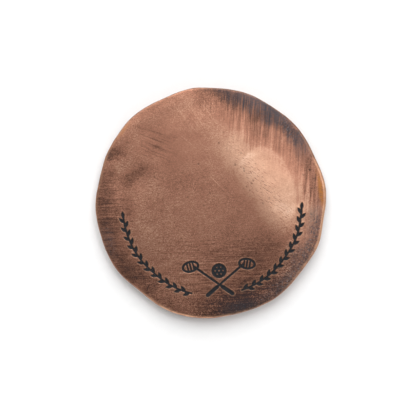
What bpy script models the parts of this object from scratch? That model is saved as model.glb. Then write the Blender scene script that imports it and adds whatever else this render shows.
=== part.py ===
"""A forged copper golf ball marker: one hammered disc, and the black filling of the marks in its face.

The disc lies on the XY plane with its stamped face up (+Z). Its origin is the middle of its foot.
Sizes are in millimetres while the shapes are worked out, and every finished mesh is scaled to metres.
"""

import math

import bmesh
import bpy
from mathutils import Matrix, Vector

METRES_PER_MM = 0.001

# The disc.
THICKNESS = 2.4
RIM_CREST = 17.8  # radius that the rim had before it was hammered
TOP_ROUND = 0.32  # how far in from the rim the face starts to round over
TOP_DROP = 0.4
FOOT_ROUND = 0.55
FOOT_RISE = 0.8
SIDES = 120
FACE_RINGS = 8
ROUNDING_STEPS = 4

# Hammer blows round the rim: bearing and spread in degrees, depth in millimetres.
RIM_BLOWS = (
    (25, 15, 0.50),
    (57, 16, 0.50),
    (86, 12, 0.36),
    (115, 13, 0.40),
    (146, 10, 0.26),
    (167, 12, 0.46),
    (197, 16, 0.28),
    (231, 12, 0.50),
    (285, 20, 0.38),
    (323, 14, 0.50),
    (352, 11, 0.45),
)
# Hammer blows on the face: x, y, spread, depth.
FACE_BLOWS = (
    (13.0, 8.5, 5.0, 0.16),
    (7.0, -13.5, 5.0, 0.16),
    (-13.5, 3.5, 3.5, 0.10),
    (-12.0, -10.5, 4.5, 0.10),
)
DOME_FALL = 0.16  # how much lower the face is at the rim than in the middle
# The face bends down along one straight crease, beyond this distance from the middle.
CREASE_BEARING = 30.5
CREASE_DISTANCE = 7.9
CREASE_SLOPE = 0.03
CREASE_SOFTNESS = 0.7

# The stamped marks: two laurel sprigs on a circle, and crossed clubs with a ball between them.
STAMP_CENTRE = Vector((0.2, -0.5))
STAMP_TURN = 3.0
MARK_DEPTH = 0.28
FILL_SUNK = 0.05
CLEARANCE = 0.03

SPRIG_RADIUS = 13.7
SPRIG_START = 16.0  # degrees from straight down to the sprig's foot
SPRIG_SPAN = 70.0
LEAVES = 23  # on each sprig, turn and turn about on either side of the stem
LEAF_LENGTH = 1.1
LEAF_WIDTH = 0.4
LEAF_LEAN = 35.0
LEAF_STEPS = 5
STEM_WIDTH = 0.18
STEM_STEPS = 24

EMBLEM_CENTRE = Vector((0.5, -10.9))
GRIP_END = Vector((-1.9, -2.7))
SHAFT_TOP = Vector((3.7, 1.75))
SHAFT_WIDTH = 0.24
GRIP_LENGTH = 1.9
GRIP_WIDTH = 0.5
HEAD_CENTRE = Vector((4.3, 1.8))
HEAD_RADII = (1.3, 0.85)
HEAD_TILT = -12.0
HEAD_LINE = 0.24
SCORE_LINES = (-0.45, 0.0, 0.45)
SCORE_WIDTH = 0.13
BALL_CENTRE = Vector((0.0, 0.95))
BALL_RADIUS = 1.1
DIMPLE_RADIUS = 0.16
DIMPLE_CIRCLE = 0.6
DIMPLES = 6
ROUND_STEPS = 24
DIMPLE_STEPS = 8

COPPER = ((0.56, 0.28, 0.19), 0.36, 1.0)
BLACK_FILL = ((0.02, 0.022, 0.026), 0.5, 0.0)


# ---------- the hammered form ----------


def angle_between(a, b):
    """The difference of two bearings, from -180 to 180 degrees."""
    return (a - b + 180) % 360 - 180


def rim_radius(bearing):
    """The rim's radius at a bearing in degrees."""
    radius = RIM_CREST
    for at, spread, depth in RIM_BLOWS:
        radius -= depth * math.exp(-((angle_between(bearing, at) / spread) ** 2))
    return radius


def face_drop(x, y):
    """How far the face lies under the highest level at a point."""
    drop = DOME_FALL * (x * x + y * y) / RIM_CREST**2
    for at_x, at_y, spread, depth in FACE_BLOWS:
        drop += depth * math.exp(-((x - at_x) ** 2 + (y - at_y) ** 2) / spread**2)
    along = math.radians(CREASE_BEARING)
    past = x * math.cos(along) + y * math.sin(along) - CREASE_DISTANCE
    return drop + CREASE_SLOPE * CREASE_SOFTNESS * math.log1p(math.exp(past / CREASE_SOFTNESS))


def rim_centre():
    """The middle of the hammered rim's box, which the origin is moved to."""
    rim = [Vector((math.cos(t), math.sin(t))) * rim_radius(math.degrees(t)) for t in side_angles()]
    lows = Vector((min(p.x for p in rim), min(p.y for p in rim)))
    highs = Vector((max(p.x for p in rim), max(p.y for p in rim)))
    return (lows + highs) / 2


def side_angles():
    return [math.tau * i / SIDES for i in range(SIDES)]


def hammered(point, centre):
    """Where a point of the turned blank ends up: the rim moves in, and the face is pressed down."""
    x, y, z = point
    radius = math.hypot(x, y)
    bearing = math.degrees(math.atan2(y, x))
    squeeze = 1 + (rim_radius(bearing) / RIM_CREST - 1) * (radius / RIM_CREST) ** 4
    x, y = x * squeeze, y * squeeze
    return Vector((x - centre.x, y - centre.y, z * (1 - face_drop(x, y) / THICKNESS)))


# ---------- scene helpers ----------


def clear_scene():
    for obj in list(bpy.data.objects):
        bpy.data.objects.remove(obj)


def new_collection(name):
    collection = bpy.data.collections.new(name)
    bpy.context.scene.collection.children.link(collection)
    return collection


def material(name, look):
    colour, roughness, metallic = look
    made = bpy.data.materials.new(name)
    made.use_nodes = True
    shader = made.node_tree.nodes["Principled BSDF"]
    shader.inputs["Base Color"].default_value = (*colour, 1)
    shader.inputs["Roughness"].default_value = roughness
    shader.inputs["Metallic"].default_value = metallic
    return made


def helper(name, data):
    """An object that shapes others and isn't a part itself."""
    obj = bpy.data.objects.new(name, data)
    obj.hide_render = True
    obj.display_type = "WIRE"
    helpers.objects.link(obj)
    return obj


def evaluated_mesh(obj):
    """The object's mesh with its modifiers applied, in world space, with loose caps welded."""
    bpy.context.view_layer.update()
    graph = bpy.context.evaluated_depsgraph_get()
    mesh = bpy.data.meshes.new_from_object(obj.evaluated_get(graph))
    mesh.transform(obj.matrix_world)
    shape = bmesh.new()
    shape.from_mesh(mesh)
    bmesh.ops.remove_doubles(shape, verts=shape.verts, dist=1e-5)
    shape.to_mesh(mesh)
    shape.free()
    return mesh


def boolean(obj, operation, other, self_crossing=False):
    modifier = obj.modifiers.new(operation.lower(), "BOOLEAN")
    modifier.operation = operation
    modifier.object = other
    modifier.use_self = self_crossing
    return modifier


# ---------- outlines of the marks, each a closed ring of points ----------


def ellipse(centre, radii, tilt=0.0, steps=ROUND_STEPS):
    turn = Matrix.Rotation(math.radians(tilt), 2)
    angles = (math.tau * i / steps for i in range(steps))
    return [centre + turn @ Vector((radii[0] * math.cos(t), radii[1] * math.sin(t))) for t in angles]


def bar(start, end, width, grow):
    """A straight bar with half-round ends."""
    along = (end - start).normalized()
    reach = width / 2 + grow
    ring = []
    for centre, facing in ((end, along), (start, -along)):
        for step in range(LEAF_STEPS + 1):
            turn = Matrix.Rotation(math.radians(180 * step / LEAF_STEPS - 90), 2)
            ring.append(centre + turn @ facing * reach)
    return ring


def leaf(foot, bearing, grow):
    """A lens with a pointed foot and tip."""
    turn = Matrix.Rotation(math.radians(bearing), 2)
    length, half_width = LEAF_LENGTH + 2 * grow, LEAF_WIDTH / 2 + grow
    shares = [step / LEAF_STEPS for step in range(LEAF_STEPS)]
    there = [Vector((length * s - grow, -half_width * math.sin(math.pi * s))) for s in shares]
    back = [Vector((length * (1 - s) - grow, half_width * math.sin(math.pi * s))) for s in shares]
    return [foot + turn @ point for point in there + back]


def stem(start, end, grow):
    """A strip of the sprig circle between two bearings."""
    inner, outer = SPRIG_RADIUS - STEM_WIDTH / 2 - grow, SPRIG_RADIUS + STEM_WIDTH / 2 + grow
    bearings = [start + (end - start) * i / STEM_STEPS for i in range(STEM_STEPS + 1)]
    ring = [on_circle(outer, b) for b in bearings] + [on_circle(inner, b) for b in reversed(bearings)]
    return ring


def on_circle(radius, bearing):
    angle = math.radians(bearing)
    return Vector((math.cos(angle), math.sin(angle))) * radius


def sprig(side):
    """A function giving the outlines of a sprig that runs up from below, on side +1 (right) or -1 (left)."""
    pitch = side * SPRIG_SPAN / (LEAVES + 1)
    foot_bearing = 270 + side * SPRIG_START

    def outlines(grow):
        leaves = []
        for index in range(LEAVES + 1):
            bearing = foot_bearing + pitch * (index + 0.5)
            lean = 0 if index == LEAVES else LEAF_LEAN * (-1) ** index
            leaves.append([leaf(on_circle(SPRIG_RADIUS, bearing), bearing + side * 90 + lean, grow)])
        return leaves + [[stem(foot_bearing, foot_bearing + pitch * (LEAVES + 1), grow)]]

    return outlines


def club(side, grow):
    """One club of the emblem, leaning to side: its grip, shaft, and a head with score lines."""
    mirror = Matrix.Scale(side, 2, Vector((1, 0)))
    grip_end, top = mirror @ GRIP_END, mirror @ SHAFT_TOP
    along = (top - grip_end).normalized()
    head, tilt = mirror @ HEAD_CENTRE, side * HEAD_TILT
    outer = ellipse(head, [r + grow for r in HEAD_RADII], tilt)
    inner = ellipse(head, [r - HEAD_LINE - grow for r in HEAD_RADII], tilt)
    groups = [
        [bar(grip_end, top, SHAFT_WIDTH, grow)],
        [bar(grip_end, grip_end + along * GRIP_LENGTH, GRIP_WIDTH, grow)],
        [outer, inner],
    ]
    turn = Matrix.Rotation(math.radians(tilt), 2)
    reach_x, reach_y = (r - HEAD_LINE / 2 for r in HEAD_RADII)
    for offset in SCORE_LINES:
        reach = reach_y * math.sqrt(1 - (offset / reach_x) ** 2)
        foot, tip = (head + turn @ Vector((offset, y)) for y in (-reach, reach))
        groups.append([bar(foot, tip, SCORE_WIDTH, grow)])
    return [[[EMBLEM_CENTRE + point for point in ring] for ring in group] for group in groups]


def crossed_clubs(grow):
    return club(1, grow) + club(-1, grow)


def ball(grow):
    """A round patch with dimples left standing in it."""
    centre = EMBLEM_CENTRE + BALL_CENTRE
    dimples = [centre] + [centre + on_circle(DIMPLE_CIRCLE, 360 * i / DIMPLES) for i in range(DIMPLES)]
    holes = [ellipse(at, [DIMPLE_RADIUS - grow] * 2, steps=DIMPLE_STEPS) for at in dimples]
    return [[ellipse(centre, [BALL_RADIUS + grow] * 2), *holes]]


# ---------- solids ----------


def prism(rings, low, high):
    """The mesh of a flat outline raised from low to high. A ring inside another is a hole."""
    curve = bpy.data.curves.new("outline", "CURVE")
    curve.dimensions = "2D"
    curve.fill_mode = "BOTH"
    curve.extrude = (high - low) / 2
    turn = Matrix.Rotation(math.radians(STAMP_TURN), 2)
    for ring in rings:
        spline = curve.splines.new("POLY")
        spline.points.add(len(ring) - 1)
        for point, at in zip(spline.points, ring):
            placed = STAMP_CENTRE + turn @ at
            point.co = (placed.x, placed.y, 0, 1)
        spline.use_cyclic_u = True
    holder = helper("outline", curve)
    holder.location.z = (low + high) / 2
    mesh = evaluated_mesh(holder)
    bpy.data.objects.remove(holder)
    return mesh


def mark_solid(name, outlines, low, high, grow):
    """The outlines' shapes joined into one solid: a slab from low to high, kept only where the shapes are."""
    shape = bmesh.new()
    for rings in outlines(grow):
        shape.from_mesh(prism(rings, low - 1, high + 1))
    bmesh.ops.recalc_face_normals(shape, faces=shape.faces)
    mesh = bpy.data.meshes.new(name)
    shape.to_mesh(mesh)
    shape.free()
    stamp = helper(name + "_stamp", mesh)
    slab_shape = bmesh.new()
    bmesh.ops.create_cube(slab_shape, size=1)
    slab_mesh = bpy.data.meshes.new(name + "_slab")
    slab_shape.to_mesh(slab_mesh)
    slab_shape.free()
    slab_mesh.transform(Matrix.Diagonal((3 * RIM_CREST, 3 * RIM_CREST, high - low, 1)))
    slab = helper(name + "_slab", slab_mesh)
    slab.location.z = (low + high) / 2
    boolean(slab, "INTERSECT", stamp, self_crossing=True)
    solid = evaluated_mesh(slab)
    bpy.data.objects.remove(stamp)
    bpy.data.objects.remove(slab)
    return solid


def blank_profile():
    """Half of the blank's section, from the middle of the face round the rim to the middle of the foot."""
    flat = RIM_CREST - TOP_ROUND
    points = [(flat * ring / FACE_RINGS, THICKNESS) for ring in range(FACE_RINGS)]
    quarter = [math.pi / 2 * step / ROUNDING_STEPS for step in range(ROUNDING_STEPS + 1)]
    for t in quarter:
        points.append((flat + TOP_ROUND * math.sin(t), THICKNESS - TOP_DROP * (1 - math.cos(t))))
    for t in quarter:
        points.append((RIM_CREST - FOOT_ROUND * (1 - math.cos(t)), FOOT_RISE * (1 - math.sin(t))))
    return points + [(0, 0)]


def turned_blank():
    profile = bmesh.new()
    corners = [profile.verts.new((x, 0, z)) for x, z in blank_profile()]
    for a, b in zip(corners, corners[1:]):
        profile.edges.new((a, b))
    mesh = bpy.data.meshes.new("blank")
    profile.to_mesh(mesh)
    profile.free()
    blank = helper("blank", mesh)
    screw = blank.modifiers.new("turn", "SCREW")
    screw.steps = screw.render_steps = SIDES
    screw.use_merge_vertices = True
    screw.merge_threshold = 0.0001
    return blank


def finished_piece(name, mesh, look, centre):
    """Hammers a mesh of the blank, scales it to metres, and makes it a part whose origin is in its middle."""
    for vertex in mesh.vertices:
        vertex.co = hammered(vertex.co, centre)
    mesh.transform(Matrix.Scale(METRES_PER_MM, 4))
    corners = [vertex.co for vertex in mesh.vertices]
    origin = Vector([(min(c[k] for c in corners) + max(c[k] for c in corners)) / 2 for k in range(3)])
    origin.z = min(c.z for c in corners)
    mesh.transform(Matrix.Translation(-origin))
    mesh.shade_smooth()
    mesh.set_sharp_from_angle(angle=math.radians(35))
    mesh.materials.clear()
    mesh.materials.append(look)
    obj = bpy.data.objects.new(name, mesh)
    obj.location = origin
    obj.parent = marker
    parts.objects.link(obj)
    return obj


def build():
    marks = {
        "left_sprig_fill": sprig(-1),
        "right_sprig_fill": sprig(1),
        "crossed_clubs_fill": crossed_clubs,
        "ball_fill": ball,
    }
    centre = rim_centre()
    copper = material("copper", COPPER)
    black = material("black_fill", BLACK_FILL)
    floor = THICKNESS - MARK_DEPTH
    blank = turned_blank()
    recesses = []
    for name, outlines in marks.items():
        recess = mark_solid(name, outlines, floor, THICKNESS + 1, CLEARANCE)
        recesses.append(helper(name + "_recess", recess))
        boolean(blank, "DIFFERENCE", recesses[-1])
    disc = evaluated_mesh(blank)
    for obj in (blank, *recesses):
        bpy.data.objects.remove(obj)
    finished_piece("forged_disc", disc, copper, centre)
    for name, outlines in marks.items():
        filling = mark_solid(name, outlines, floor + CLEARANCE, THICKNESS - FILL_SUNK, 0)
        finished_piece(name, filling, black, centre)


clear_scene()
parts = new_collection("ball_marker")
helpers = new_collection("helpers")
helpers.hide_render = True
marker = bpy.data.objects.new("ball_marker", None)
parts.objects.link(marker)
build()
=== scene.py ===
"""The looks of the forged copper ball marker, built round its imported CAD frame.

The fine disc and the black filling of its marks are made anew from the frame's own outlines and
levels: the outlines of the stamped marks, the hammered rim and the rise and fall of the face are
all read from the CAD solids. Lengths are in millimetres until a mesh is finished.
"""

import math

import bpy
import numpy as np
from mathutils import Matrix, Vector, noise
from mathutils.geometry import delaunay_2d_cdt
from mathutils.kdtree import KDTree


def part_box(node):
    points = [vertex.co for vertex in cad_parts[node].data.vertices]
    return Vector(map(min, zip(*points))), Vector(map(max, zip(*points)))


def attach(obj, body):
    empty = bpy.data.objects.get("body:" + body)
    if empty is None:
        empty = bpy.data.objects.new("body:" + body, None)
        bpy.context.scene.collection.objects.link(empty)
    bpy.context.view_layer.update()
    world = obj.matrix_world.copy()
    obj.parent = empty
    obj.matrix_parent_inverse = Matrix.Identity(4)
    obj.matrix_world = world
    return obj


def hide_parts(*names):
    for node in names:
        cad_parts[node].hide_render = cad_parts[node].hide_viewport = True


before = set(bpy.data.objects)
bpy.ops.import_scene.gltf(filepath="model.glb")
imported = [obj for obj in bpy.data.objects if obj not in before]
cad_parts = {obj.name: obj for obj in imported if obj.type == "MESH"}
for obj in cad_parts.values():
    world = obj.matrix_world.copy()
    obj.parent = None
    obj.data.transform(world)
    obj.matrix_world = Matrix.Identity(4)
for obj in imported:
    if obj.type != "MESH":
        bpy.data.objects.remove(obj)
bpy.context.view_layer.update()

MM = 0.001
DISC = "forged_disc"
FILLS = ("left_sprig_fill", "right_sprig_fill", "crossed_clubs_fill", "ball_fill")

# Fineness of the meshes.
DISC_REACH = 18  # the disc is inside this far from its middle, each way
FACE_STEP = 0.17
MARK_STEP = 0.08
MARK_BAND = 0.26  # how far from a mark the finer grid reaches
OUTLINE_STEP = 0.025  # between the points that distances to an outline are measured from
OUTLINE_BAND = 0.5  # further than this outside the outlines' box, a point is merely FAR
FAR = 9.0
UNDER_STEP = 0.42
BEARINGS = 540
ROUNDING_STEPS = 7
SIDE_STEPS = 7
FILL_STEP = 0.1

# The section of the rim, as in the CAD solid.
TOP_ROUND = 0.32
TOP_DROP = 0.4
FOOT_ROUND = 0.55
FOOT_RISE = 0.8
SIDE_BULGE = 0.05
CREST_LEVEL = 0.9 * FOOT_RISE  # the rim's widest corners lie within CREST_BAND of it
CREST_BAND = 0.15
RIM_RADIUS = 16.6  # outside it, an upright face is the rim's and not a mark's
RIM_WAVES = 24  # how many go round the rim at most, in the curve fitted to it

# The broad bumps that the face's level is fitted with: their width, their gap and the furthest.
BUMP_SPREAD = 3.6
BUMP_GAP = 2.7
BUMP_REACH = 20
FACE_FALL = 0.9  # the face is nowhere further below its highest point

# The relief: the lip beside a mark and its rounded edge, small waves, the filling and the side.
LIP_RISE = 0.014
LIP_AT = 0.09
LIP_REACH = 0.09
EDGE_ROUND = 0.02
EDGE_REACH = 0.035
FACE_WAVES = 0.006
FACE_BRUSHING = 0.002
UNDER_WAVES = 0.004
FILL_WAVES = 0.008
FILL_SUNK = 0.05
FILL_THICK = 0.2
MENISCUS = 0.03
MENISCUS_REACH = 0.06
MARK_DEPTH = 0.28  # as in the CAD solid
SIDE_SWELL = 0.05
SIDE_ROUGHNESS = 0.012
# The bend in the face: a straight line, square to this bearing, at this distance from the middle.
CREASE_BEARING = 30.5
CREASE_DISTANCE = 7.1
CREASE_SLOPE = 0.03
CREASE_SOFTNESS = 0.35
CREASE_SPREAD = 2.6  # about how far to each side of the line the face is changed

# How worn it is: the lip of a mark, the side, the foot's edge and the high spots underneath. The
# lip's brightness is a painted highlight as well as wear.
LIP_WEAR_AND_HIGHLIGHT = 0.3
SIDE_WEAR = 0.06
FOOT_WEAR = 0.2
UNDER_WEAR = 0.3
UNDER_WEAR_DEPTH = 0.012
CLING_REACH = 0.04  # how far from the walls the filling is lighter
# Soot beside a mark, and in a pit: it reaches so far, and a pit this deep is full of it.
SOOT_REACH = 0.05
SOOTY_DEPTH = 0.02
# The rim's upper edge is rubbed bright along a hairline everywhere, partly wear and partly a painted
# highlight on the rounding.
HAIRLINE_WEAR_AND_HIGHLIGHT = 0.4
EDGE_WEAR_AND_HIGHLIGHT_REACH = 0.09
# Where it is brighter, partly wear and partly a painted highlight of the light on the rounded edge:
# bearing, how far to each side, and how much.
WORN_AND_HIGHLIT_EDGES = (
    (350.0, 22.0, 1.6),
    (10.0, 12.0, 0.7),
    (322.0, 10.0, 0.5),
    (30.0, 10.0, 0.3),
    (247.0, 13.0, 1.0),
    (275.0, 20.0, 0.25),
    (165.0, 28.0, 0.28),
)

# Hammer blows that show on the face: x, y, radius, depth.
HAND_BLOWS = (
    (-14.5, 7.9, 1.9, 0.03),
    (-10.6, 3.5, 1.8, 0.025),
    (-16.0, -3.0, 2.6, 0.02),
    (15.6, 5.0, 2.4, 0.03),
)
# How the pits are drawn out: the direction, their length over their width, and their furthest
# reach in radii.
PIT_LEAN = -35.0
PIT_STRETCH = 1.7
PIT_REACH = 5
# Fields of pits: how many, their centre, their scatter along and across, its direction, and
# their usual radius.
PIT_FIELDS = (
    (34, (7.2, 3.4), (4.5, 1.3), -53.0, 0.065),
    (4, (14.3, 5.0), (0.6, 1.5), 0.0, 0.08),
    (20, (0.0, 0.0), (8.0, 8.0), 0.0, 0.065),
)

random = np.random.default_rng(7)


# ---------- reading the frame ----------


def cad_shape(node):
    """A CAD node's corners in millimetres, and its triangles, with doubled corners joined."""
    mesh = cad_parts[node].data
    corners = np.empty(len(mesh.vertices) * 3)
    mesh.vertices.foreach_get("co", corners)
    corners = corners.reshape(-1, 3) / MM
    mesh.calc_loop_triangles()
    triangles = np.empty(len(mesh.loop_triangles) * 3, int)
    mesh.loop_triangles.foreach_get("vertices", triangles)
    _, first, joined = np.unique(np.round(corners, 3), axis=0, return_index=True, return_inverse=True)
    triangles = joined.ravel()[triangles].reshape(-1, 3)
    whole = (triangles != np.roll(triangles, 1, 1)).all(1)
    return corners[first], triangles[whole]


def face_slopes(corners, triangles):
    """The upward part of each triangle's normal: 1 is level and facing up."""
    a, b, c = (corners[triangles[:, k]] for k in range(3))
    normals = np.cross(b - a, c - a)
    return normals[:, 2] / np.maximum(np.linalg.norm(normals, axis=1), 1e-12)


def top_edge_loops(node):
    """The closed outlines, seen from above, where a node's level top meets its upright walls."""
    corners, triangles = cad_shape(node)
    slopes = face_slopes(corners, triangles)
    middles = corners[triangles].mean(1)
    upright = (abs(slopes) < 0.3) & (np.hypot(middles[:, 0], middles[:, 1]) < RIM_RADIUS)
    following = {}
    for triangle, middle in zip(triangles[upright], middles[upright]):
        for start, end in zip(triangle, np.roll(triangle, -1)):
            if min(corners[start, 2], corners[end, 2]) > middle[2] + 0.02:
                following[end] = start
    loops = []
    while following:
        start = at = next(iter(following))
        loop = []
        while at in following:
            loop.append(at)
            at = following.pop(at)
        assert at == start, "a mark's outline isn't closed"
        loops.append(corners[loop][:, :2])
    return loops


def fitted_rim():
    """The crest's radius as a function of bearing: a Fourier series through the CAD rim's corners."""
    corners, _ = cad_shape(DISC)
    radii = np.hypot(corners[:, 0], corners[:, 1])
    crest = (radii > RIM_RADIUS) & (abs(corners[:, 2] - CREST_LEVEL) < CREST_BAND)
    bearings = np.arctan2(corners[crest, 1], corners[crest, 0])
    waves = np.arange(1, RIM_WAVES + 1)

    def terms(at):
        angles = np.multiply.outer(at, waves)
        return np.concatenate([np.ones((len(at), 1)), np.cos(angles), np.sin(angles)], 1)

    shares = np.linalg.lstsq(terms(bearings), radii[crest], rcond=None)[0]
    return lambda at: terms(np.atleast_1d(at)) @ shares


def fitted_face():
    """The level of the face over any point: broad soft bumps fitted to the CAD face's corners."""
    corners, triangles = cad_shape(DISC)
    slopes = face_slopes(corners, triangles)
    level = np.unique(triangles[slopes > 0.9])
    points = corners[level]
    thickness = points[:, 2].max()
    points = points[points[:, 2] > thickness - FACE_FALL]
    rows = np.arange(1 - BUMP_REACH, BUMP_REACH, BUMP_GAP)
    centres = [(x + BUMP_GAP / 2 * (j % 2), y) for j, y in enumerate(rows) for x in rows]
    centres = np.array([centre for centre in centres if math.hypot(*centre) < BUMP_REACH])

    def terms(at):
        squares = ((at[:, None, :] - centres) ** 2).sum(2)
        return np.concatenate([np.exp(-squares / BUMP_SPREAD**2), np.ones((len(at), 1))], 1)

    # Corners well below the fit are the marks' or the rim's, so they are left out of the next one.
    shares = np.zeros(len(centres) + 1)
    kept = np.ones(len(points), bool)
    for _ in range(4):
        known = terms(points[kept][:, :2])
        ridge = 1e-4 * np.eye(len(shares))
        shares = np.linalg.solve(known.T @ known + ridge, known.T @ points[kept][:, 2])
        kept = points[:, 2] > terms(points[:, :2]) @ shares - 0.05

    def level_at(places):
        blocks = np.array_split(places, len(places) // 5000 + 1)
        return np.concatenate([terms(block) @ shares for block in blocks])

    return level_at


# ---------- points, outlines and triangles in the plane ----------


def densified(loop, step):
    """The loop with points added so that none are further apart than step."""
    points = []
    for start, end in zip(loop, np.roll(loop, -1, 0)):
        count = max(1, math.ceil(np.linalg.norm(end - start) / step))
        points += [start + (end - start) * k / count for k in range(count)]
    return np.array(points)


def triangular_grid(low, high, step):
    """Points spaced evenly over a box, from its lowest to its highest x and y."""
    (low_x, low_y), (high_x, high_y) = np.broadcast_to(low, 2), np.broadcast_to(high, 2)
    rows = np.arange(low_y, high_y, step * math.sqrt(3) / 2)
    columns = np.arange(low_x, high_x, step)
    x, y = np.meshgrid(columns, rows)
    x = x + (np.arange(len(rows)) % 2)[:, None] * step / 2
    return np.stack([x.ravel(), y.ravel()], 1)


def inside(points, loops):
    """Whether each point is inside the loops, where a loop in another is a hole."""
    starts = np.concatenate(loops)
    ends = np.concatenate([np.roll(loop, -1, 0) for loop in loops])
    run, rise = (ends - starts).T
    rise = np.where(abs(rise) < 1e-12, 1e-12, rise)
    found = []
    for block in np.array_split(points, len(points) // 2000 + 1):
        x, y = block[:, :1], block[:, 1:]
        spans = (starts[:, 1] > y) != (ends[:, 1] > y)
        right = starts[:, 0] + (y - starts[:, 1]) * run / rise > x
        found.append((spans & right).sum(1) % 2 == 1)
    return np.concatenate(found)


class Nearness:
    """Distances to a set of outlines."""

    def __init__(self, loops):
        points = np.concatenate([densified(loop, OUTLINE_STEP) for loop in loops])
        self.low, self.high = points.min(0) - OUTLINE_BAND, points.max(0) + OUTLINE_BAND
        self.tree = KDTree(len(points))
        for index, point in enumerate(points):
            self.tree.insert((*point, 0), index)
        self.tree.balance()

    def __call__(self, points):
        near = ((points > self.low) & (points < self.high)).all(1)
        distances = np.full(len(points), FAR)
        distances[near] = [self.tree.find((x, y, 0))[2] for x, y in points[near]]
        return distances


def triangulated(loops, extra):
    """Triangles through all the points, facing up, whose edges follow the closed loops.

    Returns their corners, the triangles, and the number of each loop point's corner.
    """
    points = np.concatenate([*loops, extra])
    edges, at = [], 0
    for loop in loops:
        edges += [(at + k, at + (k + 1) % len(loop)) for k in range(len(loop))]
        at += len(loop)
    found = delaunay_2d_cdt([Vector(point) for point in points], edges, [], 0, 1e-6)
    places, triangles = np.array([tuple(place) for place in found[0]]), np.array(found[2])
    corner_of = {source: corner for corner, sources in enumerate(found[3]) for source in sources}
    a, b, c = (places[triangles[:, k]] for k in range(3))
    (abx, aby), (acx, acy) = (b - a).T, (c - a).T
    area = abx * acy - aby * acx
    triangles[area < 0] = triangles[area < 0][:, ::-1]
    return places, triangles[abs(area) > 1e-9], np.array([corner_of[k] for k in range(at)])


def new_piece(name, corners, faces, looks, attributes=()):
    """A smooth-shaded mesh object of corners in millimetres."""
    mesh = bpy.data.meshes.new(name)
    mesh.from_pydata(corners * MM, [], faces)
    mesh.validate()
    mesh.shade_smooth()
    mesh.set_sharp_from_angle(angle=math.radians(50))
    for attribute, values in attributes:
        layer = mesh.attributes.new(attribute, "FLOAT", "POINT")
        layer.data.foreach_set("value", values.astype(np.float32))
    mesh.materials.append(looks)
    obj = bpy.data.objects.new(name, mesh)
    bpy.context.scene.collection.objects.link(obj)
    return obj


# ---------- the relief ----------


def soft_noise(points, scale, seed=0.0, stretch=1.0, turn=0.0, octaves=2):
    """Smooth noise from about -1 to 1, drawn out along turn, a direction in degrees."""
    c, s = math.cos(math.radians(turn)), math.sin(math.radians(turn))
    u = (points[:, 0] * c + points[:, 1] * s) / (scale * stretch)
    v = (points[:, 1] * c - points[:, 0] * s) / scale
    return np.array([noise.fractal((a, b, seed), 1.0, 2.0, octaves) for a, b in zip(u, v)])


def softplus(value, softness):
    """The value where it is above 0, and 0 where it is below, with a soft turn between."""
    return softness * np.logaddexp(0, value / softness)


def dents(points, blows):
    """The depth left by hammer blows: x, y, radius, depth. Where two meet, the deeper one counts."""
    depth = np.zeros(len(points))
    for x, y, radius, most in blows:
        share = ((points - (x, y)) ** 2).sum(1) / radius**2
        depth = np.maximum(depth, most * np.maximum(0, 1 - share))
    return depth


def scattered(count, low, high, radii, depths):
    """Random blows with their centres between two distances from the middle."""
    distance = np.sqrt(random.uniform(low**2, high**2, count))
    bearing = random.uniform(0, math.tau, count)
    places = np.stack([distance * np.cos(bearing), distance * np.sin(bearing)], 1)
    return np.column_stack([places, random.uniform(*radii, count), random.uniform(*depths, count)])


def round_the_side(count, levels, radii, depths):
    """Random blows on the side: how far round, how high, radius, depth."""
    around = random.uniform(0, math.tau * RIM_RADIUS, count)
    height = random.uniform(*levels, count)
    radius = random.uniform(*radii, count)
    return np.column_stack([around, height, radius, random.uniform(*depths, count)])


def pit_field(count, centre, spread, turn, usual):
    """Random pits round a centre: x, y, radius, depth. Their spread is along and across turn."""
    c, s = math.cos(math.radians(turn)), math.sin(math.radians(turn))
    along, across = random.normal(0, 1, (2, count)) * np.array(spread)[:, None]
    places = np.stack([centre[0] + along * c - across * s, centre[1] + along * s + across * c], 1)
    size = usual * random.uniform(0.7, 1.3, count)
    return np.column_stack([places, size, size * random.uniform(0.1, 0.3, count)])


def pit_depths(points, pits, lean):
    """Pits drawn out along the direction lean, in degrees."""
    c, s = math.cos(math.radians(lean)), math.sin(math.radians(lean))
    depth = np.zeros(len(points))
    for x, y, radius, most in pits:
        gap = points - (x, y)
        near = (abs(gap) < PIT_REACH * radius).all(1)
        along, across = gap[near] @ (c, s), gap[near] @ (-s, c)
        fall = np.exp(-((along / (PIT_STRETCH * radius)) ** 2) - (across / radius) ** 2)
        depth[near] = np.maximum(depth[near], most * fall)
    return depth


def crease_depth(points):
    """What sharpens the bend in the face, most of all towards its line's lower end."""
    bearing = math.radians(CREASE_BEARING)
    past = points @ (math.cos(bearing), math.sin(bearing)) - CREASE_DISTANCE
    lower = points @ (math.sin(bearing), -math.cos(bearing))
    firm = np.clip((lower + 12) / 18, 0.3, 1)
    return CREASE_SLOPE * firm * (softplus(past, CREASE_SOFTNESS) - softplus(past, CREASE_SPREAD))


# ---------- the forged disc ----------


class Shell:
    """Gathers the corners of one mesh, with how worn each is (a painted highlight too at the rim's
    edge and the marks' lips) and how sooty, and its faces.
    """

    def __init__(self):
        self.corners, self.worn, self.sooty, self.faces = [], [], [], []
        self.count = 0

    def add(self, places, heights, worn=0.0, sooty=0.0):
        """Adds corners and returns their numbers."""
        fresh = self.count + np.arange(len(places))
        self.corners.append(np.column_stack([places, np.broadcast_to(heights, len(places))]))
        self.worn.append(np.broadcast_to(worn, len(places)))
        self.sooty.append(np.broadcast_to(sooty, len(places)))
        self.count += len(places)
        return fresh

    def bridge(self, upper, lower):
        """Faces between two closed rings of corners, the upper one further in or higher up."""
        self.faces += np.stack([upper, lower, np.roll(lower, -1), np.roll(upper, -1)], 1).tolist()

    def piece(self, name, looks):
        attributes = [("worn", np.concatenate(self.worn)), ("sooty", np.concatenate(self.sooty))]
        return new_piece(name, np.concatenate(self.corners), self.faces, looks, attributes)


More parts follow.
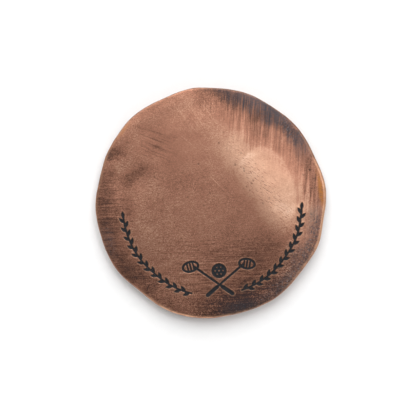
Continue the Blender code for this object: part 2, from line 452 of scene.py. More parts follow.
def ring_points(radii, angles):
    return np.stack([radii * np.cos(angles), radii * np.sin(angles)], 1)


def within_rim(points, margin):
    return points[np.hypot(*points.T) < rim_radius(np.arctan2(points[:, 1], points[:, 0])) - margin]


def face_height(points):
    """The finished face's level: the CAD's, with a sharper bend, and with dents, waves and pits."""
    height = face_level(points) - crease_depth(points) - dents(points, face_blows)
    waves = FACE_WAVES * soft_noise(points, 2.2, seed=3.0)
    brushed = FACE_BRUSHING * soft_noise(points, 0.45, seed=5.0, stretch=7.0, turn=80.0)
    return height + (waves + brushed) - pit_depths(points, pits, PIT_LEAN)


def edge_wear_and_highlight(bearings):
    """How worn the rim's upper edge is at each bearing, in radians, together with its painted
    highlight.
    """
    wear = np.zeros(len(bearings))
    for bearing, spread, more in WORN_AND_HIGHLIT_EDGES:
        gap = (np.degrees(bearings) - bearing + 180) % 360 - 180
        wear += more * np.exp(-((gap / spread) ** 2))
    return wear


def lip(distance):
    """Metal pushed up beside a struck mark, and rounded over at the mark's very edge."""
    ridge = LIP_RISE * np.exp(-(((distance - LIP_AT) / LIP_REACH) ** 2))
    return ridge - (LIP_RISE + EDGE_ROUND) * np.exp(-((distance / EDGE_REACH) ** 2))


def struck_face(shell, edge):
    """The face with its struck marks, inside the ring edge. Returns that ring's corner numbers."""
    marks = [densified(loop, MARK_STEP) for loop in top_edge_loops(DISC)]
    to_marks = Nearness(marks)
    margin = TOP_ROUND + 0.5 * FACE_STEP
    coarse = within_rim(triangular_grid(-DISC_REACH, DISC_REACH, FACE_STEP), margin)
    fine = within_rim(triangular_grid(-DISC_REACH, DISC_REACH, MARK_STEP), margin)
    gap = to_marks(fine)
    fine = fine[(gap > 0.5 * MARK_STEP) & (gap < MARK_BAND)]
    coarse = coarse[to_marks(coarse) >= MARK_BAND]
    places, triangles, kept = triangulated([edge, *marks], np.concatenate([coarse, fine]))
    triangles = triangles[inside(places[triangles].mean(1), [edge])]
    in_mark = inside(places[triangles].mean(1), marks)

    top, floor = np.full(len(places), -1), np.full(len(places), -1)
    high, sunk = np.unique(triangles[~in_mark]), np.unique(triangles[in_mark])
    gap = to_marks(places[high])
    bearings = np.arctan2(places[high][:, 1], places[high][:, 0])
    inset = rim_radius(bearings) - TOP_ROUND - np.hypot(*places[high].T)
    # The brighter lip beside a mark and the brighter rim edge: wear, and a painted highlight.
    worn = LIP_WEAR_AND_HIGHLIGHT * np.exp(-(((gap - LIP_AT) / LIP_REACH) ** 2))
    worn += edge_wear_and_highlight(bearings) * np.exp(-((np.maximum(inset, 0) / EDGE_WEAR_AND_HIGHLIGHT_REACH) ** 2))
    sooty = np.exp(-((gap / SOOT_REACH) ** 2))
    sooty = np.clip(sooty + pit_depths(places[high], pits, PIT_LEAN) / SOOTY_DEPTH, 0, 1)
    top[high] = shell.add(places[high], face_height(places[high]) + lip(gap), worn, sooty)
    floor[sunk] = shell.add(places[sunk], face_level(places[sunk]) - MARK_DEPTH, sooty=1.0)
    shell.faces += top[triangles[~in_mark]].tolist() + floor[triangles[in_mark]].tolist()
    outward = {tuple(side) for side in sides_of(triangles[~in_mark])}
    for start, end in sides_of(triangles[in_mark]):
        if (end, start) in outward:
            shell.faces.append([top[start], top[end], floor[end], floor[start]])
    return top[kept[: len(edge)]]


def sides_of(triangles):
    """The three sides of each triangle, in its own direction."""
    return np.concatenate([triangles[:, [a, b]] for a, b in ((0, 1), (1, 2), (2, 0))]).tolist()


def rim_section():
    """Steps down the rim, each with how far it is inside the crest, its level and its wear.

    The wear is an even part, and a share of what the rim's upper edge has at a bearing, wear and
    painted highlight.
    """
    quarter = [math.pi / 2 * k / ROUNDING_STEPS for k in range(ROUNDING_STEPS + 1)]
    steps = []
    for angle in quarter[1:]:
        inset = TOP_ROUND * (1 - math.sin(angle))
        drop = TOP_DROP * (1 - math.cos(angle))
        # The hairline along the rounding: wear, and a painted highlight.
        hairline_wear_and_highlight = HAIRLINE_WEAR_AND_HIGHLIGHT * math.sin(2 * angle) ** 2
        steps.append((inset, thickness - drop, hairline_wear_and_highlight, math.cos(angle) ** 0.5))
    span = thickness - TOP_DROP - FOOT_RISE
    for share in np.linspace(0, 1, SIDE_STEPS)[1:-1]:
        bulge = SIDE_BULGE * math.sin(math.pi * share)
        steps.append((-bulge, thickness - TOP_DROP - span * share, SIDE_WEAR, 0.0))
    for angle in quarter:
        inset = FOOT_ROUND * (1 - math.cos(angle))
        level = FOOT_RISE * (1 - math.sin(angle))
        steps.append((inset, level, FOOT_WEAR * math.sin(2 * angle), 0.0))
    return steps


def rim_beats(angles, level):
    """How far the beaten side stands out at a level. It is even where it meets face and foot."""
    free = min(1, 4 * level * (thickness - level) / thickness**2)
    around = ring_points(7.0, angles)  # noise that is read round a ring meets itself
    swell = SIDE_SWELL * np.array([noise.noise((x, y, 0.9 * level)) for x, y in around])
    rough = [noise.noise((3 * x, 3 * y, 6 * level)) for x, y in around]
    rough = SIDE_ROUGHNESS * np.array(rough)
    along = np.column_stack([angles * RIM_RADIUS, np.full(len(angles), level)])
    return free * (swell + rough - dents(along, side_blows))


def rim_side(shell, ring, angles, crest, edge_level):
    """The rounded rim, from the face's ring to the foot. Returns its lowest ring and where it is."""
    for inset, level, worn, share in rim_section():
        places = ring_points(crest - inset + rim_beats(angles, level), angles)
        # Wear, and a share of the upper edge's wear and painted highlight.
        lower = shell.add(places, level * edge_level / thickness, worn + share * edge_wear_and_highlight(angles))
        shell.bridge(ring, lower)
        ring = lower
    return ring, places


def underside(shell, ring, edge):
    """The hammered underside, inside the lowest ring of the rim."""
    grid = triangular_grid(-DISC_REACH, DISC_REACH, UNDER_STEP)
    grid = within_rim(grid, FOOT_ROUND + 0.6 * UNDER_STEP)
    places, triangles, kept = triangulated([edge], grid)
    triangles = triangles[inside(places[triangles].mean(1), [edge])]
    inner = np.setdiff1d(np.arange(len(places)), kept)
    numbers = np.empty(len(places), int)
    numbers[kept] = ring
    waves = UNDER_WAVES * (1 + soft_noise(places[inner], 1.5, seed=11.0))
    beaten = dents(places[inner], under_blows) + waves
    worn = UNDER_WEAR * np.exp(-((beaten / UNDER_WEAR_DEPTH) ** 2))
    numbers[inner] = shell.add(places[inner], np.maximum(beaten, 0), worn)
    shell.faces += numbers[triangles[:, ::-1]].tolist()


def forged_disc():
    shell = Shell()
    angles = np.arange(BEARINGS) * math.tau / BEARINGS
    crest = rim_radius(angles)
    face_edge = ring_points(crest - TOP_ROUND, angles)
    ring = struck_face(shell, face_edge)
    ring, foot_edge = rim_side(shell, ring, angles, crest, face_height(face_edge))
    underside(shell, ring, foot_edge)
    return shell.piece("forged_copper_disc", copper())


# ---------- the black filling of the marks ----------


def filling(node):
    """A mark's filling, hollow towards its middle and higher where it clings to the walls."""
    outline = [densified(loop, FILL_STEP) for loop in top_edge_loops(node)]
    to_wall = Nearness(outline)
    low, high = (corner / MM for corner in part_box(node))
    grid = triangular_grid((low.x, low.y), (high.x, high.y), FILL_STEP)
    grid = grid[inside(grid, outline) & (to_wall(grid) > 0.4 * FILL_STEP)]
    places, triangles, _ = triangulated(outline, grid)
    triangles = triangles[inside(places[triangles].mean(1), outline)]
    gap = to_wall(places)
    level = face_level(places)
    shell = Shell()
    sag = MENISCUS * (1 - np.exp(-gap / MENISCUS_REACH))
    sag += FILL_WAVES * soft_noise(places, 0.18, seed=21.0)
    top = shell.add(places, level - FILL_SUNK - sag, np.exp(-gap / CLING_REACH))
    base = shell.add(places, level - FILL_SUNK - FILL_THICK)
    shell.faces += top[triangles].tolist() + base[triangles[:, ::-1]].tolist()
    sides = sides_of(triangles)
    known = {tuple(side) for side in sides}
    shell.faces += [[top[b], top[a], base[a], base[b]] for a, b in sides if (b, a) not in known]
    return shell.piece(node + "_skin", black_fill())


# ---------- materials ----------


class Graph:
    """A material's nodes. Each call adds a node, wires its inputs, and gives its output."""

    def __init__(self, name):
        self.material = bpy.data.materials.new(name)
        self.material.use_nodes = True
        self.tree = self.material.node_tree
        self.shader = self.tree.nodes["Principled BSDF"]

    def node(self, kind, *inputs, output=0, **settings):
        """A new node's output, given by name where it isn't the node's first."""
        made = self.tree.nodes.new("ShaderNode" + kind)
        for setting, value in settings.items():
            setattr(made, setting, value)
        for socket, value in zip(made.inputs, inputs):
            self.feed(socket, value)
        return made.outputs[output]

    def feed(self, socket, value):
        if isinstance(value, bpy.types.NodeSocket):
            self.tree.links.new(value, socket)
        elif value is not None:
            socket.default_value = value

    def math(self, operation, *values):
        return self.node("Math", *values, operation=operation)

    def total(self, *terms):
        """The sum of (weight, value) pairs."""
        result = 0.0
        for weight, value in terms:
            result = self.math("MULTIPLY_ADD", value, weight, result)
        return result

    def scaled(self, vector, factors):
        return self.node("VectorMath", vector, factors, operation="MULTIPLY")

    def shifted(self, vector, by):
        return self.node("VectorMath", vector, by, operation="ADD")

    def in_mm(self):
        """Where a point is on the object, in millimetres."""
        return self.scaled(self.node("TexCoord", output="Object"), (1 / MM,) * 3)

    def ease(self, value, low, high, start=0.0, end=1.0):
        """Goes smoothly from start to end as value goes from low to high."""
        return self.node("MapRange", value, low, high, start, end, interpolation_type="SMOOTHSTEP")

    def blend(self, share, first, second):
        """A number that goes from first to second as share goes from 0 to 1."""
        return self.node("MapRange", share, 0.0, 1.0, first, second)

    def mix(self, factor, first, second):
        made = self.tree.nodes.new("ShaderNodeMix")
        made.data_type = "RGBA"
        for index, value in ((0, factor), (6, first), (7, second)):
            self.feed(made.inputs[index], value)
        return made.outputs[2]

    def noise(self, vector, size, detail=2.0, roughness=0.5, output="Fac"):
        """Noise about 0.5, whose features measure about size."""
        return self.node("TexNoise", vector, None, 1 / size, detail, roughness, output=output)

    def laid(self, vector, centre, turn, lengths):
        """Coordinates that start at a centre, turn by degrees and count in lengths."""
        turned = (0, 0, math.radians(turn))
        stretched = (*lengths, lengths[1])
        return self.node("Mapping", vector, (*centre, 0), turned, stretched, vector_type="TEXTURE")

    def cone(self, vector, centre, lengths, turn):
        """1 at a centre, falling evenly to 0 at an ellipse of these half lengths."""
        laid = self.laid(vector, centre, turn, lengths)
        return self.node("TexGradient", laid, gradient_type="SPHERICAL", output="Fac")

    def patches(self, vector, table):
        """The sum of soft weighted ellipses: x, y, half length, half width, turn, weight."""
        terms = []
        for x, y, length, width, turn, weight in table:
            patch = self.ease(self.cone(vector, (x, y), (length, width), turn), 0, 1)
            terms.append((weight, patch))
        return self.total(*terms)

    def streaks(self, vector, turn, width, length, offset=0.0, detail=3.0):
        """Noise drawn out along a direction, from about -1 to 1."""
        drawn = self.laid(vector, (offset, offset), turn, (length, width))
        raw = self.noise(drawn, 1.0, detail, 0.6)
        return self.node("MapRange", raw, 0.3, 0.7, -1.0, 1.0, clamp=False)

    def attribute(self, name):
        return self.node("Attribute", attribute_name=name, output="Fac")

    def ramp(self, value, stops):
        made = self.tree.nodes.new("ShaderNodeValToRGB")
        self.feed(made.inputs[0], value)
        marks = made.color_ramp.elements
        for _ in stops[2:]:
            marks.new(0.5)
        for mark, (position, colour) in zip(marks, stops):
            mark.position, mark.color = position, (*colour, 1)
        return made.outputs[0]

    def finish(self, colour, roughness, height, relief, metallic=None):
        """Wires the shader. relief is the height's size in millimetres."""
        bump = self.node("Bump", 1.0, relief * MM, None, height)
        made = self.shader.inputs
        self.feed(made["Base Color"], colour)
        self.feed(made["Roughness"], roughness)
        self.feed(made["Normal"], bump)
        if metallic is not None:
            made["Metallic"].default_value = metallic
        return self.material


# Every patch below is a soft ellipse: x, y, half length, half width, turn, weight.

# How strongly the edges of most patches wander, and over what distance.
DRIFT_REACH = 3.2
DRIFT_SIZE = 1 / 0.45
# The face's even patches of tone, partly the copper's own and partly painted highlight and painted
# shade, darker where the weight is negative.
TONE_AND_PAINTED_LIGHT_PATCHES = (
    (-2.0, 14.0, 6.0, 4.0, 10, 0.04),
    (-7.0, -6.9, 9.0, 5.0, -40, 0.08),
    (4.0, 8.6, 6.5, 3.8, 118, 0.18),
    (9.4, 1.6, 8.5, 5.0, 118, 0.06),
    (14.6, -2.4, 3.2, 2.4, 90, 0.07),
    (11.6, -1.6, 4.5, 2.6, 121, 0.07),
    (-13.9, 5.3, 2.0, 1.4, 0, 0.07),
    (14.4, 1.2, 4.2, 1.8, 95, 0.09),
    (9.0, 15.3, 7.0, 1.2, -30, -0.24),
    (0.0, 17.3, 5.0, 1.0, 0, -0.2),
    (-8.6, 14.9, 9.0, 1.1, 30, -0.14),
    (-3.4, -15.6, 4.2, 2.4, -12, 0.12),
    (8.4, -14.2, 4.0, 1.8, 30, 0.12),
    (11.9, -11.9, 3.4, 1.3, 45, 0.08),
    (10.4, 10.6, 5.0, 2.2, -45, 0.13),
    (15.8, -0.2, 4.0, 2.0, 90, 0.06),
    (-0.2, 15.5, 3.4, 2.2, 0, 0.08),
    (2.7, 6.6, 3.8, 2.4, 120, 0.07),
    (5.0, 12.2, 3.4, 2.4, 120, 0.06),
    (-3.3, 3.2, 3.8, 2.8, 0, -0.04),
    (0.5, 9.8, 4.8, 2.4, 120, 0.07),
    (12.4, -1.8, 4.4, 2.8, 110, 0.045),
    (16.3, 3.8, 2.8, 1.6, 105, 0.08),
)
# Single scratches: bright where the weight is positive, and dark where it is negative.
SCRATCHES = (
    (0.9, 3.0, 2.8, 0.09, -47, 0.2),
    (-6.5, -2.0, 1.9, 0.07, 24, 0.12),
    (3.2, -5.4, 2.4, 0.07, -12, 0.1),
    (-3.6, 9.4, 2.2, 0.07, -38, 0.12),
    (-9.2, 10.9, 4.6, 0.22, -16, -0.13),
    (-8.2, 9.5, 4.0, 0.22, -20, -0.13),
    (-9.4, 9.0, 3.0, 0.2, -21, -0.1),
    (-7.5, 8.2, 3.4, 0.22, -22, -0.13),
    (-8.1, 7.5, 3.0, 0.22, -20, -0.13),
    (-7.4, 6.8, 2.6, 0.2, -24, -0.12),
)
# The brighter face beyond the crease, partly cleaner copper and partly a painted highlight of the
# light that the tilted face reflects. It sets in BEYOND_LEAD before the crease, and is full at it.
BEYOND_CREASE = ((8.5, 3.4, 13.0, 7.0, 120, 1.9),)
BEYOND_LEAD = 2.8
BEYOND_HIGHLIGHT_WEIGHT = 0.08
# The clean facet there, an ellipse with an edge that shows, brightened by a painted highlight.
FACET_CENTRE = (8.2, 1.2)
FACET_REACH = (7.7, 4.9)
FACET_TURN = 97.0
FACET_EDGE = 0.1
FACET_HIGHLIGHT_WEIGHT = 0.1
# Darker copper, most of all round the rim and below: partly darkened copper, and partly painted shade
# in the hammer dents on the left and over the lower half, which turns away from the light.
DARK_AND_SHADE_PATCHES = (
    (-16.8, -1.5, 12.0, 3.4, 88, 0.18),
    (-15.8, 1.8, 4.5, 2.2, 92, 0.13),
    (-8.5, 10.0, 5.0, 3.5, 30, 0.06),
    (11.6, 6.3, 5.0, 3.5, 130, 0.09),
    (3.6, -2.5, 9.0, 6.0, 90, 0.06),
    (-15.2, 7.4, 3.0, 1.7, 10, 0.31),
    (-11.2, 4.8, 3.2, 1.7, 30, 0.21),
    (-12.9, 3.3, 2.2, 1.2, 20, 0.08),
    (-13.2, -1.2, 4.0, 2.4, 95, 0.14),
    (-6.0, 5.0, 6.5, 4.5, 100, 0.05),
    (-14.6, -5.0, 8.0, 2.4, 102, 0.18),
    (-11.0, -10.8, 6.0, 2.4, 134, 0.2),
    (6.0, -14.8, 10.0, 5.0, 18, 0.42),
    (0.0, -16.5, 16.0, 5.0, 0, 0.25),
    (8.0, -7.0, 8.0, 4.6, 50, 0.16),
    (0.0, -9.5, 17.0, 7.0, 0, 0.1),
    (10.4, -10.4, 6.0, 2.0, 45, 0.12),
    (-8.0, -13.2, 4.0, 2.4, -30, 0.1),
    (-11.8, -11.8, 6.0, 2.0, 135, 0.14),
    (-14.4, -8.2, 4.0, 1.8, 118, 0.1),
)
# Dark patches whose edges are drawn out along the upright brush marks.
DRAWN_PATCHES = (
    (2.0, 16.5, 7.0, 3.0, 0, 0.3),
    (6.0, 12.8, 8.0, 5.0, -28, 0.22),
    (11.6, 10.9, 7.0, 4.2, -48, 0.18),
    (15.5, 4.0, 7.0, 2.6, 96, 0.2),
)
# The blue-grey film, drawn out in the same way, and then where it is gritty instead.
FILM_PATCHES = (
    (4.6, 16.2, 4.6, 2.6, -12, 0.8),
    (9.2, 14.0, 5.8, 3.1, -36, 1.3),
    (13.4, 9.4, 4.6, 2.4, -58, 0.75),
    (16.1, -2.6, 4.4, 1.7, 86, 0.42),
)
GRITTY_PATCHES = (
    (15.7, -4.6, 5.4, 2.2, 84, 0.5),
    (14.3, -9.0, 4.6, 2.3, 62, 0.7),
    (12.9, -8.0, 4.6, 2.2, 60, 0.3),
    (11.0, -12.8, 5.0, 2.3, 42, 0.7),
    (5.5, -15.9, 6.0, 2.0, 16, 0.45),
    (-15.9, -6.0, 5.0, 1.8, 104, 0.4),
    (12.2, 11.0, 5.0, 2.2, -48, 0.45),
)
# Where the grain is finest.
CALM_PATCHES = (
    (-4.5, 9.0, 9.5, 7.0, 0, 1.15),
    (9.0, 4.5, 14.0, 9.0, 120, 1.6),
    (5.5, 13.0, 8.0, 5.0, -20, 0.9),
)
# Where it is coarsest.
ROUGH_PATCHES = (
    (12.0, -12.0, 12.0, 4.4, 48, 3.4),
    (3.0, -16.0, 10.0, 3.4, 8, 1.8),
    (-6.0, -14.0, 8.0, 4.0, -25, 1.0),
)
# Orange oxide at the rim.
RUST_PATCHES = (
    (16.75, 1.5, 4.6, 0.6, 100, 1.15),
    (-13.4, 10.8, 2.6, 0.5, 52, 0.5),
)
# Where the brush marks run which way.
UPRIGHT_TURN = 86.0
UPRIGHT_PATCHES = (
    (8.0, 9.5, 11.0, 6.0, 150, 1.1),
    (14.8, 0.4, 11.0, 4.0, 90, 1.8),
    (5.0, 14.0, 7.5, 4.6, -20, 1.0),
)
SCORED_PATCHES = ((-9.5, 8.5, 8.0, 5.5, 30, 1.1),)
LEVEL_PATCHES = (
    (-15.0, -3.5, 12.0, 5.5, 85, 0.95),
    (0.0, -11.0, 19.0, 10.0, 0, 1.1),
)
SLANTED_PATCHES = (
    (-1.5, 13.5, 5.5, 5.0, 0, 0.9),
    (-1.0, 3.0, 10.0, 7.0, 130, 0.4),
)
# The brush marks: direction, width, length, how much they shade and score, and where.
BRUSH_ZONES = (
    (UPRIGHT_TURN, 0.32, 7.0, 0.7, 0.5, UPRIGHT_PATCHES),
    (-22.0, 0.32, 4.0, 0.4, 1.6, SCORED_PATCHES),
    (2.0, 0.28, 4.0, 1.0, 1.0, LEVEL_PATCHES),
    (-55.0, 0.3, 5.0, 1.0, 1.0, SLANTED_PATCHES),
)
# The small cracks along the bend.
CRACK_LEAN = -33.0
CRACK_BAND = (
    (8.0, 2.2, 10.5, 2.6, 127, 1.3),
    (3.2, 9.0, 3.4, 2.4, 121, 0.3),
)
# Colours, from the darkest tone to the brightest.
COPPER_TONES = (
    (0.0, (0.05, 0.033, 0.032)),
    (0.2, (0.125, 0.061, 0.042)),
    (0.5, (0.327, 0.153, 0.102)),
    (0.75, (0.54, 0.313, 0.213)),
    (1.0, (0.80, 0.56, 0.43)),
)
FILM_COLOUR = (0.034, 0.046, 0.058)
RUST_COLOUR = (0.34, 0.14, 0.042)
ASH_COLOUR = (0.27, 0.265, 0.275)
# Rubbed copper. On the rim's edge and the marks' lips it is also a painted highlight.
WORN_AND_HIGHLIGHT_COLOUR = (0.63, 0.355, 0.225)
SOOT_COLOUR = (0.012, 0.012, 0.013)
FILL_TONES = ((0.0, (0.004, 0.005, 0.007)), (1.0, (0.024, 0.024, 0.026)))
PAPER_TONES = ((0.3, (0.82, 0.82, 0.82)), (0.7, (0.84, 0.84, 0.84)))


class Copper(Graph):
    """The copper's nodes, with the coordinates and noises that its face, side and foot share."""

    def __init__(self):
        super().__init__("antique_copper")
        self.at = self.in_mm()
        self.flat = self.scaled(self.at, (1, 1, 0))
        drift = self.noise(self.flat, DRIFT_SIZE, 3.0, 0.6, output="Color")
        drift = self.node("VectorMath", drift, (0.5, 0.5, 0.5), operation="SUBTRACT")
        drift = self.scaled(drift, (DRIFT_REACH, DRIFT_REACH, 0))
        self.adrift = self.shifted(self.flat, drift)
        self.slightly = self.shifted(self.flat, self.scaled(drift, (0.3, 0.3, 0)))
        self.hardly = self.shifted(self.flat, self.scaled(drift, (0.06, 0.06, 0)))
        calm = self.node("Clamp", self.patches(self.adrift, CALM_PATCHES))
        rough = self.patches(self.adrift, ROUGH_PATCHES)
        self.unrest = self.total((-0.9, calm), (1.0, rough), (1, 1.5))
        grain = self.streaks(self.at, 0.0, 0.12, 0.16, offset=4.0)
        self.grain = self.math("MULTIPLY", grain, self.unrest)
        self.fleck = self.streaks(self.at, 10.0, 0.26, 0.42, offset=6.0)
        speck = self.ease(self.streaks(self.at, 0.0, 0.17, 0.22, offset=12.0), 0.8, 1.4)
        self.speck = self.math("MULTIPLY", speck, self.unrest)
        self.cloud = self.streaks(self.at, 20.0, 2.2, 3.5, offset=9.0)
        self.stain = self.streaks(self.at, 0.0, 2.6, 2.6, offset=33.0)
        # The upright brush marks draw out the edges of the dark patches and the film.
        self.lines = self.streaks(self.flat, UPRIGHT_TURN, 0.26, 7.0, offset=80, detail=4.0)
        pull = self.node("CombineXYZ", 0.0, self.math("MULTIPLY", self.lines, 1.2))
        self.pulled = self.shifted(self.adrift, pull)
        self.drawn = self.patches(self.pulled, DRAWN_PATCHES)


def brush_marks(graph, clean):
    """The brushed tone, from about -1 to 1, and the dark lines scored deeper, from 0 to 1."""
    brushed, scored = 0.0, 0.0
    for turn, width, length, shading, scoring, zone in BRUSH_ZONES:
        share = graph.patches(graph.adrift, zone)
        lines = graph.streaks(graph.flat, turn, width, length, offset=turn)
        brushed = graph.total((shading, graph.math("MULTIPLY", lines, share)), (1, brushed))
        cuts = graph.streaks(graph.flat, turn, 0.45 * width, 0.6 * length, offset=turn + 50)
        cuts = graph.ease(cuts, 0.35, 0.95)
        scored = graph.total((scoring, graph.math("MULTIPLY", cuts, share)), (1, scored))
    return graph.math("MULTIPLY", brushed, clean), graph.math("MULTIPLY", scored, clean)


def beyond_the_crease(graph):
    """How much a point is on the face beyond the crease, and on the clean facet there, where the tone
    gets a painted highlight.
    """
    bearing = math.radians(CREASE_BEARING)
    across = (math.cos(bearing), math.sin(bearing), 0)
    past = graph.node("VectorMath", graph.flat, across, operation="DOT_PRODUCT", output="Value")
    rise = graph.ease(past, CREASE_DISTANCE - BEYOND_LEAD, CREASE_DISTANCE)
    beyond = graph.math("MINIMUM", graph.patches(graph.adrift, BEYOND_CREASE), 1.0)
    facet = graph.cone(graph.slightly, FACET_CENTRE, FACET_REACH, FACET_TURN)
    facet = graph.ease(facet, 0.0, FACET_EDGE)
    return graph.math("MULTIPLY", rise, beyond), graph.math("MULTIPLY", facet, rise)


def small_cracks(graph):
    cracks = graph.streaks(graph.flat, CRACK_LEAN, 0.13, 0.9, offset=7.0, detail=1.0)
    cracks = graph.ease(cracks, 0.46, 0.74)
    return graph.math("MULTIPLY", cracks, graph.patches(graph.flat, CRACK_BAND))


def face_finish(graph, gritty):
    """The face's tone, its fine relief and how brushed it is."""
    beyond, facet = beyond_the_crease(graph)
    clean = graph.math("MULTIPLY_ADD", facet, -0.45, 1.0)
    brushed, scored = brush_marks(graph, clean)
    cracks = small_cracks(graph)
    # Darkened copper together with painted shade in the dents and over the lower half.
    dark_and_shade = graph.math("ADD", graph.patches(graph.adrift, DARK_AND_SHADE_PATCHES), graph.drawn)
    dark_and_shade = graph.math("MULTIPLY", dark_and_shade, graph.math("MULTIPLY_ADD", brushed, -0.6, 1.0))
    # The tone holds painted light: highlight and shade in the even patches, a highlight beyond the
    # crease and on the facet, and shade in the dark patches.
    tone = graph.total(
        (1.0, graph.patches(graph.flat, TONE_AND_PAINTED_LIGHT_PATCHES)),
        (1.0, graph.patches(graph.hardly, SCRATCHES)),
        (BEYOND_HIGHLIGHT_WEIGHT, beyond),
        (FACET_HIGHLIGHT_WEIGHT, facet),
        (-1.0, dark_and_shade),
        (0.11, brushed),
        (-0.16, scored),
        (-0.42, cracks),
        (0.13, graph.grain),
        (0.055, graph.math("MULTIPLY", graph.fleck, graph.unrest)),
        (-0.1, graph.speck),
        (-0.15, graph.math("MULTIPLY", graph.speck, gritty)),
        (0.05, graph.cloud),
        (1, 0.5),
    )
    height = graph.total((1.0, brushed), (0.7, graph.grain), (-0.8, scored), (-1.5, cracks))
    return tone, height, brushed


def side_finish(graph):
    """The tone, the fine relief and the film of the side, which is beaten and not brushed."""
    ridges = graph.streaks(graph.scaled(graph.at, (1, 1, 4)), 0.0, 0.9, 0.9, offset=30.0)
    tone = graph.total(
        (0.07, ridges),
        (0.1, graph.stain),
        (0.07, graph.grain),
        (0.04, graph.fleck),
        (1, 0.42),
    )
    height = graph.total((1.2, ridges), (0.8, graph.fleck), (0.5, graph.grain))
    return tone, height, graph.ease(graph.stain, 0.1, -0.9, 0.0, 0.45)


def foot_finish(graph):
    """The tone and the fine relief of the foot, which is brushed one way."""
    lines = graph.streaks(graph.flat, 62.0, 0.3, 7.0, offset=36.0)
    tone = graph.total(
        (0.13, lines),
        (0.16, graph.cloud),
        (0.1, graph.stain),
        (0.1, graph.grain),
        (1, 0.45),
    )
    return tone, graph.total((1.0, lines), (0.7, graph.grain))


def face_film(graph, gritty):
    """How thick the blue-grey film is on the face."""
    uneven = graph.total((0.55, graph.lines), (0.3, graph.grain), (0.38, graph.fleck), (1, 0.82))
    film = graph.math("MULTIPLY", graph.patches(graph.pulled, FILM_PATCHES), uneven)
    mottle = graph.streaks(graph.at, 78.0, 0.24, 0.4, offset=44.0)
    mottle = graph.total((1, mottle), (0.6, graph.grain))
    grit = graph.math("MULTIPLY", gritty, graph.ease(mottle, -0.5, 0.7, 0.1, 1.7))
    return graph.node("Clamp", graph.math("ADD", film, grit))


def ashy_grains(graph, gritty):
    ashes = graph.ease(graph.streaks(graph.at, 30.0, 0.22, 0.28, offset=15.0), 0.45, 0.9)
    return graph.math("MULTIPLY", ashes, graph.math("MULTIPLY", gritty, 0.9))


def orange_oxide(graph):
    uneven = graph.total((0.5, graph.fleck), (0.4, graph.lines), (1, 0.8))
    return graph.math("MULTIPLY", graph.patches(graph.slightly, RUST_PATCHES), uneven)


def rubbed_and_highlit(graph, film):
    """How much of the worn edges and their painted highlight shows: less under the film and in the
    dark patches.
    """
    broken = graph.ease(graph.noise(graph.at, 1.1), 0.3, 0.65, 0.4, 1.0)
    rubbed_and_highlit_share = graph.math("MULTIPLY", graph.attribute("worn"), broken)
    bare = graph.total((-0.6, film), (-2.2, graph.drawn), (1, 1.0))
    return graph.math("MULTIPLY", rubbed_and_highlit_share, graph.node("Clamp", bare, 0.5))


def copper():
    graph = Copper()
    gritty = graph.patches(graph.adrift, GRITTY_PATCHES)
    face_tone, face_relief, brushed = face_finish(graph, gritty)
    side_tone, side_relief, side_film = side_finish(graph)
    foot_tone, foot_relief = foot_finish(graph)

    # What faces sideways is the side, and what faces down is the foot.
    normal = graph.node("TexCoord", output="Normal")
    facing = graph.node("SeparateXYZ", normal, output="Z")
    level = graph.ease(graph.math("ABSOLUTE", facing), 0.45, 0.85)
    upward = graph.ease(facing, -0.1, 0.1)
    tone = graph.blend(level, side_tone, graph.blend(upward, foot_tone, face_tone))
    film = graph.math("MULTIPLY", face_film(graph, gritty), upward)
    film = graph.blend(level, side_film, film)
    height = graph.blend(level, side_relief, graph.blend(upward, foot_relief, face_relief))

    rust = orange_oxide(graph)
    sooty = graph.attribute("sooty")
    colour = graph.ramp(tone, COPPER_TONES)
    coats = (
        (graph.math("MULTIPLY", film, 0.8), FILM_COLOUR),
        (graph.node("Clamp", ashy_grains(graph, gritty)), ASH_COLOUR),
        (graph.node("Clamp", rust), RUST_COLOUR),
        # Rubbed copper, with a painted highlight on the rim's edge and the marks' lips.
        (graph.node("Clamp", rubbed_and_highlit(graph, film)), WORN_AND_HIGHLIGHT_COLOUR),
        (sooty, SOOT_COLOUR),
    )
    for share, coat in coats:
        colour = graph.mix(share, colour, (*coat, 1))
    roughness = graph.total(
        (-0.14, tone),
        (0.05, graph.grain),
        (0.03, brushed),
        (0.2, sooty),
        (0.1, film),
        (0.12, rust),
        (1, 0.46),
    )
    return graph.finish(colour, roughness, height, 0.003, metallic=1.0)


def black_fill():
    graph = Graph("black_antiquing")
    at = graph.in_mm()
    grain = graph.streaks(at, 0.0, 0.09, 0.12, offset=2.0)
    cloud = graph.streaks(at, 40.0, 0.8, 1.2, offset=7.0)
    tone = graph.total((0.22, grain), (0.22, cloud), (0.4, graph.attribute("worn")))
    colour = graph.ramp(graph.math("ADD", tone, 0.35), FILL_TONES)
    roughness = graph.math("MULTIPLY_ADD", grain, 0.08, 0.6)
    graph.shader.inputs["Specular IOR Level"].default_value = 0.18
    return graph.finish(colour, roughness, grain, 0.006)


def floor_paper():
    graph = Graph("floor_paper")
    fibre = graph.noise(graph.in_mm(), 1.5, 3.0)
    return graph.finish(graph.ramp(fibre, PAPER_TONES), 0.9, fibre, 0.002)


# ---------- the studio ----------

# The lights: bearing, elevation, distance, side of the square, power.
LIGHTS = {
    "top_softbox": (90.0, 47.0, 0.55, 0.55, 3.9),
    "facet_light": (30.0, 68.0, 0.6, 0.14, 0.3),
    "low_front_fill": (-90.0, 25.0, 0.6, 0.4, 0.9),
}
ROOM_LIGHT = (0.7, 0.26)  # at the walls and overhead
LENS = 100.0
VIEW_WIDTH = 63.35  # of the picture, at the level of VIEW_LEVEL
VIEW_LEVEL = 0.7  # of the disc's thickness
AIM = (-0.44, -0.79)


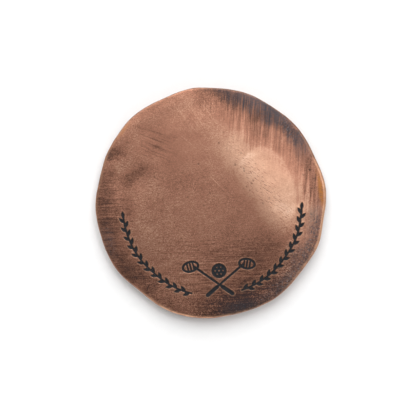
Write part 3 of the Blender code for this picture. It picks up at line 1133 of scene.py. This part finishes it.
def pale_room():
    """Even light from all round, brighter from the walls than from overhead."""
    world = bpy.data.worlds.new("pale_room")
    world.use_nodes = True
    nodes, links = world.node_tree.nodes, world.node_tree.links
    direction = nodes.new("ShaderNodeTexCoord").outputs["Generated"]
    height = nodes.new("ShaderNodeSeparateXYZ")
    light = nodes.new("ShaderNodeMapRange")
    links.new(direction, height.inputs[0])
    links.new(height.outputs["Z"], light.inputs["Value"])
    for name, value in zip(("From Min", "From Max", "To Min", "To Max"), (0.35, 0.9, *ROOM_LIGHT)):
        light.inputs[name].default_value = value
    links.new(light.outputs[0], nodes["Background"].inputs["Strength"])
    nodes["Background"].inputs["Color"].default_value = (1, 1, 1, 1)
    return world


def studio():
    bpy.ops.mesh.primitive_circle_add(vertices=96, radius=1.2, fill_type="NGON")
    floor = bpy.context.object
    floor.name = "floor"
    floor.data.materials.append(floor_paper())
    for name, (bearing, elevation, distance, side, power) in LIGHTS.items():
        light = bpy.data.lights.new(name, "AREA")
        light.shape, light.size, light.energy = "SQUARE", side, power
        lamp = bpy.data.objects.new(name, light)
        around, up = math.radians(bearing), math.radians(elevation)
        level = math.cos(up)
        toward = Vector((math.cos(around) * level, math.sin(around) * level, math.sin(up)))
        lamp.location = toward * distance
        lamp.rotation_euler = toward.to_track_quat("Z", "Y").to_euler()
        bpy.context.scene.collection.objects.link(lamp)
    bpy.context.scene.world = pale_room()
    bpy.context.scene.view_settings.view_transform = "Standard"


def camera():
    lens = bpy.data.cameras.new("camera")
    lens.lens = LENS
    distance = VIEW_WIDTH / 2 / (lens.sensor_width / 2 / LENS)
    lens.clip_start = 0.01
    holder = bpy.data.objects.new("camera", lens)
    holder.location = Vector((*AIM, distance + VIEW_LEVEL * thickness)) * MM
    bpy.context.scene.collection.objects.link(holder)
    bpy.context.scene.camera = holder


# ---------- making it ----------

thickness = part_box(DISC)[1].z / MM
rim_radius = fitted_rim()
face_level = fitted_face()
small_blows = scattered(26, 11.5, 17.5, radii=(1.6, 3.0), depths=(0.008, 0.022))
face_blows = np.concatenate([small_blows, HAND_BLOWS])
under_blows = scattered(90, 0, 17.2, radii=(2.2, 4.0), depths=(0.02, 0.055))
side_blows = round_the_side(70, levels=(0.4, 2.0), radii=(0.8, 1.7), depths=(0.02, 0.06))
pits = np.concatenate([pit_field(*field) for field in PIT_FIELDS])

pieces = {DISC: (forged_disc(), "copper")}
for node in FILLS:
    pieces[node] = (filling(node), "black_fill")
for node, (piece, slot) in pieces.items():
    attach(piece, "root")
    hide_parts(node)
studio()
camera()
